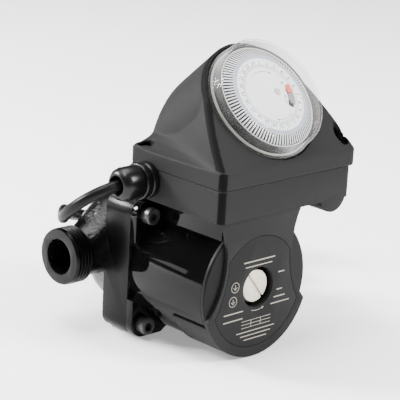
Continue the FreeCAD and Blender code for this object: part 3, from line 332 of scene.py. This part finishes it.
def refined(name, width=0.5, angle=32, segments=3):
    """A copy of a CAD node with its arrises rounded, standing for the node."""
    source = NODES[name]
    work = bmesh.new()
    work.from_mesh(source.data)
    bmesh.ops.remove_doubles(work, verts=work.verts, dist=WELD_DISTANCE)
    bmesh.ops.dissolve_limit(work, angle_limit=math.radians(1.0), verts=work.verts,
                             edges=work.edges)
    mesh = bpy.data.meshes.new(name + "_finished")
    work.to_mesh(mesh)
    work.free()
    piece = add(name + "_finished", mesh)
    if width:
        bevel = piece.modifiers.new("round", "BEVEL")
        bevel.width = width * MM
        bevel.segments = segments
        bevel.limit_method = "ANGLE"
        bevel.angle_limit = math.radians(angle)
        bevel.miter_outer = "MITER_ARC"
        bevel.use_clamp_overlap = True
        bevel.harden_normals = False
    applied = apply_modifiers(piece)
    smooth_by_angle(applied, 40)
    applied.materials.clear()
    applied.materials.append(FINISH[slot_of[name]])
    bodies = frame["record"]["behaviour"]["bodies"]
    body = next(b for b, members in bodies.items() if name in members)
    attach(piece, body)
    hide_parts(name)
    return piece


# ---------------------------------------------------------------- camera

SENSOR = 36             # millimetres across
PICTURE_SIDE = 400      # what the focal length below is counted in


def aim_camera():
    turn, rise, roll = math.radians(-44.4427), math.radians(16.5607), math.radians(3.3253)
    distance, focal = 1015.572, 1696.607
    aside, higher = 33.8307, 25.1782
    back = Vector((math.sin(turn) * math.cos(rise), -math.cos(turn) * math.cos(rise),
                   math.sin(rise)))
    right = Vector((math.cos(turn), math.sin(turn), 0))
    up = back.cross(right)
    across = right * math.cos(roll) + up * math.sin(roll)
    above = up * math.cos(roll) - right * math.sin(roll)
    spot = back * distance + across * aside + above * higher
    data = bpy.data.cameras.new("camera")
    data.sensor_width = SENSOR
    data.lens = SENSOR * focal / PICTURE_SIDE
    data.clip_start = 0.05
    camera = add("camera", data)
    camera.matrix_world = Matrix.Translation(at(*spot)) @ Matrix(
        (across, above, back)).transposed().to_4x4()
    bpy.context.scene.camera = camera


aim_camera()


# ---------------------------------------------------------------- mains lead

CABLE = 6.6             # diameter of the lead's sheath
FLOOR_LEVEL = -41
LEAD_ROUTE = [
    (-46, -38.8, 54), (-58, -38.8, 54), (-69.5, -34.1, 49.6), (-75.6, -25.3, 41.8),
    (-74.6, -14.8, 33.4), (-67, -5.1, 27.5), (-53.5, 11, 28), (-39.5, 24.5, 17.5),
    (-19.5, 31.5, 12.1), (1, 38, 6.5), (21, 47, -4.5), (38, 56.5, -17), (53, 65.2, -29),
    (67.5, 70.6, -36)]


def on_coil(angle, radius, rise):
    return (COIL[0] + radius * math.cos(math.radians(angle)),
            COIL[1] + radius * math.sin(math.radians(angle)), rise)


TAIL_ROUTE = [on_coil(205, 35.5, -24.5), on_coil(180, 36.5, -21.5), on_coil(155, 38.5, -17),
              on_coil(134, 41.5, -13), (64, 72, -11.2)]


def coil_turns():
    """Nearly six turns, two side by side in the lower layers, run clockwise seen from above."""
    points = []
    layers = ((39.6, -37.7), (33.0, -37.7), (33.0, -31.1), (39.6, -31.1), (39.6, -24.5),
              (35.5, -24.5))
    total = 90 + 360 * 5 - 205 + 360
    step = 360 / 16
    count = int(total / step)
    for index in range(count):
        angle = index * total / count
        layer = min(angle / 360, len(layers) - 1.001)
        low = int(layer)
        blend = min(1.0, max(0.0, (layer - low - 0.8) / 0.2))
        radius = layers[low][0] * (1 - blend) + layers[low + 1][0] * blend
        rise = layers[low][1] * (1 - blend) + layers[low + 1][1] * blend
        points.append(on_coil(90 - angle, radius, rise))
    return points


def lead():
    points = LEAD_ROUTE + coil_turns() + TAIL_ROUTE
    curve = bpy.data.curves.new("mains_lead", "CURVE")
    curve.dimensions = "3D"
    curve.bevel_depth = CABLE / 2 * MM
    curve.bevel_resolution = 6
    curve.resolution_u = 6
    spline = curve.splines.new("NURBS")
    spline.points.add(len(points) - 1)
    for point, spot in zip(spline.points, points):
        point.co = (*at(*spot), 1)
    spline.order_u = 3
    spline.use_endpoint_u = True
    curve.materials.append(surface("cable_sheath", (0.0025, 0.0025, 0.0025),
                                   (0.005, 0.005, 0.005), 0.4, grain=1400, depth=0.00005,
                                   specular=0.12))
    return add("mains_lead", curve)


def relief_rings():
    """Seven widening ribs of the plug's strain relief, which lies along local X."""
    parts = []
    for index in range(7):
        x = -41.5 + 3.0 * index
        radius = 4.7 + 0.28 * index
        rib = [(radius, x), (radius + 0.55, x + 0.3), (radius + 0.55, x + 1.3),
               (radius, x + 1.6), (radius - 1.2, x + 0.8)]
        verts, faces = lathe(rib, 40)
        parts.append(([(z, y, x + 10.0) for x, y, z in verts], faces))
    return join_parts(parts)


lead_piece = lead()
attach(lead_piece, "pump_body")
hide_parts("mains_cable", "cable_coil", "plug_lead")
plug_level = FLOOR_LEVEL + 6 * CABLE / 2
heading = Matrix.Rotation(math.radians(-20), 3, "Z")
plug_centre = Vector((64, 72, plug_level)) + heading @ Vector((43.5, 0, 0))
PLUG = local_frame(plug_centre, heading)
relief_ribs = make("plug_relief_ribs", *relief_rings(), FINISH["black_plastic"], "pump_body",
                   PLUG)


# ---------------------------------------------------------------- floor and light

def floor_and_light():
    material, nodes, links, shader, place = new_material("pale_floor")
    links.new(tinted(nodes, links, noise(nodes, links, place, 3, 2), (0.90, 0.90, 0.90),
                     (0.93, 0.93, 0.93)), shader.inputs["Base Color"])
    shader.inputs["Roughness"].default_value = 0.9
    shader.inputs["Specular IOR Level"].default_value = 0.1
    shader.inputs["Emission Color"].default_value = (1, 1, 1, 1)
    shader.inputs["Emission Strength"].default_value = 0.35
    mesh = bpy.data.meshes.new("floor")
    half, level = 6, -0.0004
    mesh.from_pydata([(-half, -half, level), (half, -half, level), (half, half, level),
                      (-half, half, level)], [], [(0, 1, 2, 3)])
    mesh.materials.append(material)
    floor = add("floor", mesh)
    world = bpy.data.worlds.new("studio")
    world.use_nodes = True
    background = world.node_tree.nodes["Background"]
    background.inputs["Color"].default_value = (1, 1, 1, 1)
    background.inputs["Strength"].default_value = 0.14
    bpy.context.scene.world = world
    for name, spot, target, wide, tall, power in (
            ("overhead_softbox", (0.1, 0.5, 1.9), (0, 0, 0), 1.6, 1.2, 56),
            ("can_softbox", (-0.72, 1.0, 0.74), (-0.03, -0.02, 0.06), 0.34, 0.36, 60),
            ("can_low_panel", (-1.05, 0.97, 0.27), (-0.03, -0.02, 0.06), 0.5, 0.3, 2.6),
            ("left_high_softbox", (-0.45, 0.05, 1.35), (0, 0, 0.12), 0.4, 0.4, 15),
            ("front_right_softbox", (0.8, -1.4, 1.2), (0, 0, 0.1), 0.6, 0.6, 80)):
        data = bpy.data.lights.new(name, "AREA")
        data.shape = "RECTANGLE"
        data.size, data.size_y = wide, tall
        data.energy = power
        lamp = add(name, data)
        lamp.location = spot
        lamp.rotation_euler = (Vector(target) - Vector(spot)).to_track_quat("-Z", "Y").to_euler()


floor_and_light()


# ---------------------------------------------------------------- castings, can and box

def repaint(piece, finish, chosen):
    """Gives a second finish to the faces that chosen(centre, normal) picks, the centre being in
    millimetres from the pump's own axes."""
    piece.data.materials.append(finish)
    index = len(piece.data.materials) - 1
    for face in piece.data.polygons:
        centre = face.center / MM - OFFSET
        if chosen(centre, face.normal):
            face.material_index = index


def rounded_corner(centre, normal):
    return abs(normal.z) < 0.35 and min(abs(normal.x), abs(normal.y)) > 0.22 and centre.z > 41.5


def machined(centre, normal):
    """Flat faces and threads that are cut after casting."""
    on_port = abs(centre.x) > 52
    on_block = -33.2 < centre.y < -11.8 and max(abs(centre.x), abs(centre.z)) > 38
    return on_port or on_block


housing = refined("pump_housing", 0.45, angle=50)
repaint(housing, MACHINED_BLACK, machined)
refined("motor_can", 0.5)
box_base = refined("control_box_base", 0.7)
# Painted shade on the box's rounded corners.
repaint(box_base, EDGE_PAINTED_SHADE, rounded_corner)
cap = refined("motor_front_cap", 0.3)
repaint(cap, CAP_SATIN, lambda centre, normal: True)
for node, width in (("side_plate", 0.4), ("flange_screws", 0.35), ("vent_screw", 0.25),
                    ("gland_body", 0.35), ("gland_nut", 0.4), ("mains_plug", 0.9),
                    ("plug_pins", 0.3), ("hood_screws", 0.2), ("override_lever", 0.2),
                    ("set_button", 0.15), ("nameplate", 0.15)):
    refined(node, width)


# ---------------------------------------------------------------- timer hood

def hood():
    """The moulded hood: its CAD skin made one smooth surface, with darker, duller bands painted
    along its edges as shade."""
    source = NODES["timer_hood"]
    piece = add("timer_hood_moulding", source.data.copy())
    weld = piece.modifiers.new("weld", "WELD")
    weld.merge_threshold = WELD_DISTANCE
    remesh = piece.modifiers.new("remesh", "REMESH")
    remesh.mode = "VOXEL"
    remesh.voxel_size = 0.62 * MM
    soften = piece.modifiers.new("soften", "SMOOTH")
    soften.factor = 0.5
    soften.iterations = 5
    thin_out = piece.modifiers.new("thin_out", "DECIMATE")
    thin_out.ratio = 0.6
    applied = apply_modifiers(piece)
    applied.polygons.foreach_set("use_smooth", [True] * len(applied.polygons))
    applied.materials.clear()
    applied.materials.append(FINISH["box_grey"])
    dial = DIAL.inverted()
    look = (DIAL.to_3x3() @ Vector((0, 0, 1))).normalized()

    def on_band(centre, normal):
        local = dial @ at(*centre)
        if centre.z < 71.5:
            return rounded_corner(centre, normal)
        return local.z > -4.4 and normal.dot(look) < 0.93 and local.xy.length > 34

    # Painted shade: the darker band on the hood's rounded corners and on the drum's edge beside the
    # lens.
    repaint(piece, EDGE_PAINTED_SHADE, on_band)
    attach(piece, "pump_body")
    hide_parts("timer_hood")


hood()


# ---------------------------------------------------------------- timer dial

TAPPETS = 96
HOURS = 24
FACE = 8.5              # height of the dial's front face
BUTTON = (5.9, 1.1)


def ray(angle, inner, outer, width, low=8.53, high=8.58):
    """A short raised mark that points away from the dial's centre."""
    return strip([arc(inner, angle, angle, 1)[0], arc(outer, angle, angle, 1)[0]], width, low, high)


def ring_piece(name, inner, outer, low, high, finish, body):
    return make(name, *lathe(band(inner, outer, low, high), 160), finish, body, DIAL)


def dial_print():
    """Hour ring, hour figures and minute marks that turn with the dial."""
    ring_piece("number_ring", 17.75, 22.9, 8.5, 8.54, FINISH["dial_white"], "dial")
    ring_piece("blue_grey_ring", 22.9, 25.15, 8.5, 8.55, BAND_BLUE, "dial")
    marks = [ray(360 * index / TAPPETS, 17.95, 19.1, 0.36) for index in range(TAPPETS)]
    marks += [ray(360 / HOURS * index, 21.3, 22.85, 0.2) for index in range(HOURS)]
    make("hour_marks", *join_parts(marks), PRINT_GREY, "dial", DIAL)
    verts, faces = [], []
    for hour in range(1, HOURS + 1):
        angle = math.radians(90 - 15 * hour + 7.5)
        figure = bpy.data.curves.new("figure", "FONT")
        figure.body = str(hour)
        figure.size = 3.2
        figure.offset = 0.05
        figure.align_x, figure.align_y = "CENTER", "CENTER"
        figure.resolution_u = 2
        holder = bpy.data.objects.new("figure", figure)
        mesh = bpy.data.meshes.new_from_object(holder)
        turn = Matrix.Rotation(angle - math.pi / 2, 4, "Z")
        base = len(verts)
        for vertex in mesh.vertices:
            spot = turn @ (vertex.co + Vector((0, 20.1, 8.56)))
            verts.append(tuple(spot))
        faces += [tuple(base + i for i in face.vertices) for face in mesh.polygons]
        bpy.data.objects.remove(holder)
        bpy.data.curves.remove(figure)
        bpy.data.meshes.remove(mesh)
    make("hour_figures", verts, faces, PRINT_GREY, "dial", DIAL)


def arrow(radius, start, end, level=FACE):
    """A thin curved arrow, raised a little above the given level."""
    tip = end + (5 if end > start else -5)
    head = [arc(radius - 0.75, end, end, 1)[0], arc(radius + 0.75, end, end, 1)[0],
            arc(radius, tip, tip, 1)[0]]
    top = level + 0.05
    return [strip(arc(radius, start, end), 0.3, level, top), slab(head, level, top)]


def centre_print():
    parts = arrow(14.5, 120, 64) + arrow(16.0, -54, -99)
    parts.append(slab([(11.7, 5.0), (13.5, 5.4), (12.1, 6.7)], 8.5, 8.55))
    parts.append(strip([arc(10.9, 4, 4, 1)[0], arc(9.9, 4, 4, 1)[0]], 0.3, 8.5, 8.55))
    for angle, radius in ((-15, 10.6), (-33, 10.9)):
        middle = arc(radius, angle, angle, 1)[0]
        parts.append(strip(arc(0.95, 0, 360, 20, middle), 0.28, 8.5, 8.55))
    crescent = arc(17.1, 15, -31) + [(14.0, -8.1), (12.4, -7.4), (11.9, -5.1), (12.3, -3.0),
                                     (12.9, -1.0), (13.2, 1.7), (13.9, 4.0)]
    # A flat grey crescent round the slot, painted as the shade of the slot's recess.
    make("slot_painted_shade", *slab(crescent, 8.5, 8.55), SLOT_PAINTED_SHADE, "pump_body", DIAL)
    make("lever_face", *slab([(13.6, 3.9), (16.4, 4.2), (16.9, 2.2), (14.6, -0.8), (12.9, -0.5)],
                             8.57, 8.95), FINISH["lever_red"], "override_lever", DIAL)
    hand = arc(10.6, -15, -15, 1)[0]
    parts.append(strip([hand, (hand[0], hand[1] + 0.6)], 0.22, 8.5, 8.55))
    parts.append(strip([hand, (hand[0] + 0.5, hand[1])], 0.22, 8.5, 8.55))
    make("centre_marks", *join_parts(parts), PRINT_GREY, "pump_body", DIAL)
    dimple = [(0.05, 8.5), (1.3, 8.5), (1.15, 8.62), (0.7, 8.6), (0.05, 8.55)]
    make("centre_dimple", *lathe(dimple, 40), FINISH["dial_white"], "pump_body", DIAL)
    for name, profile, segments, finish, body in (
            ("button_collar", [(2.05, 8.5), (2.5, 8.5), (2.4, 8.68), (2.15, 8.68)], 48,
             FINISH["case_cream"], "pump_body"),
            ("button_ring_mark", [(0.55, 9.5), (0.85, 9.5), (0.85, 9.56), (0.55, 9.56)], 32,
             PRINT_GREY, "set_button")):
        verts, faces = lathe(profile, segments)
        make(name, [(x + BUTTON[0], y + BUTTON[1], z) for x, y, z in verts], faces, finish, body,
             DIAL)


dial_print()
centre_print()


def tappet_blades():
    """Ninety-six setting levers with sloping tops, with black painted as the shade on their flanks
    and deep in the gaps between them.
    """
    wide = 0.25 * 2 * math.pi * 25.35 / TAPPETS
    side = [(25.35, -0.55), (30.4, -0.55), (30.4, 5.5), (30.1, 5.9), (25.8, 8.25), (25.35, 8.4)]
    parts = []
    for index in range(TAPPETS):
        turn = Matrix.Rotation(math.radians(360 * index / TAPPETS), 3, "Z")
        verts = [tuple(turn @ Vector((x, y, z))) for y in (-wide, wide) for x, z in side]
        count = len(side)
        faces = [tuple(range(count)), tuple(reversed(range(count, 2 * count)))]
        faces += [(k, k + count, (k + 1) % count + count, (k + 1) % count) for k in range(count)]
        parts.append((verts, faces))
    # A thin black ring painted as the shade deep in the gaps between the tappets.
    ring_piece("tappet_gap_painted_shade", 25.2, 25.36, -0.5, 8.1, BLACK_AND_GAP_SHADE, "dial")
    piece = make("tappet_blades", *join_parts(parts), FINISH["tappet_white"], "dial", DIAL, 25)
    # The tappets' flanks are painted black as the shade in the gaps.
    piece.data.materials.append(BLACK_AND_GAP_SHADE)
    for face in piece.data.polygons:
        if len(face.vertices) == len(side):
            face.material_index = 1
    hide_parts("setting_tappets")


tappet_blades()


def bezel():
    """Black ring round the dial."""
    profile = [(31.5, 0.05), (33.0, 0.05), (33.0, 2.6), (32.75, 5.6), (32.5, 5.9), (31.7, 5.9),
               (31.5, 5.7)]
    piece = make("black_ring", *lathe(profile, 160), BLACK_AND_GAP_SHADE, "pump_body", DIAL, 40)
    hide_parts("dial_bezel")


bezel()


def lens():
    """Clear snap-on lens with rounded rims and a fine bead along its foot."""
    profile = [(34.02, -1.35), (35.2, -1.35), (35.4, -1.15), (35.4, 0.35), (35.2, 0.62),
               (35.0, 0.8), (34.25, 9.9), (34.12, 10.9), (33.6, 11.65), (33.0, 12.2), (32.3, 12.42),
               (0.02, 12.42), (0.02, 11.0), (31.9, 11.0), (32.45, 10.75), (32.75, 10.1),
               (33.85, 0.7), (34.0, 0.3)]
    piece = make("clear_lens", *lathe(profile, 192), FINISH["lens_clear"], "lens", DIAL, 50)
    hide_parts("timer_lens")


lens()


# ---------------------------------------------------------------- nameplate marks

def nameplate_marks():
    """Generic marks only: plain rules, two ringed arrows, a turning arrow and an empty grid."""
    high = 96.62
    parts = []

    def rule(points, width):
        parts.append(strip(points, width, high, high + 0.05))

    for y, x0, x1, width in ((16.2, -12.5, 12, 0.7), (13.3, -11, 10, 0.55)):
        rule([(x0, y), (x1, y)], width)
    for x, y in ((-18.2, 3.2), (-19.4, -5.0)):
        rule(arc(2.9, 0, 360, 32, (x, y)), 0.3)
        rule([(x, y + 1.6), (x, y - 1.6)], 0.35)
        rule([(x - 1.4, y), (x, y - 1.6), (x + 1.4, y)], 0.35)
    for y, x0, x1 in ((6.0, 15.6, 20.5), (-4.4, 15.2, 19.6), (-8.6, 13.2, 22.2),
                      (-12.2, 11.0, 26.0), (-12.0, -26.0, -11.0), (-16.4, -26.0, -11.0)):
        rule([(x0, y), (x1, y)], 0.6)
    parts.extend(arrow(13.6, -108, -72, high))
    for y in (-18.6, -20.6, -22.6):
        rule([(-11.5, y), (11.5, y)], 0.28)
    for x in (-4, 3.5):
        rule([(x, -18.6), (x, -22.6)], 0.28)
    for y, half in ((-25.2, 15), (-27.6, 12), (-30.0, 9)):
        rule([(-half, y), (half, y)], 0.5)
    make("nameplate_marks", *join_parts(parts), PRINT_BEIGE, "pump_body", MOTOR)


nameplate_marks()
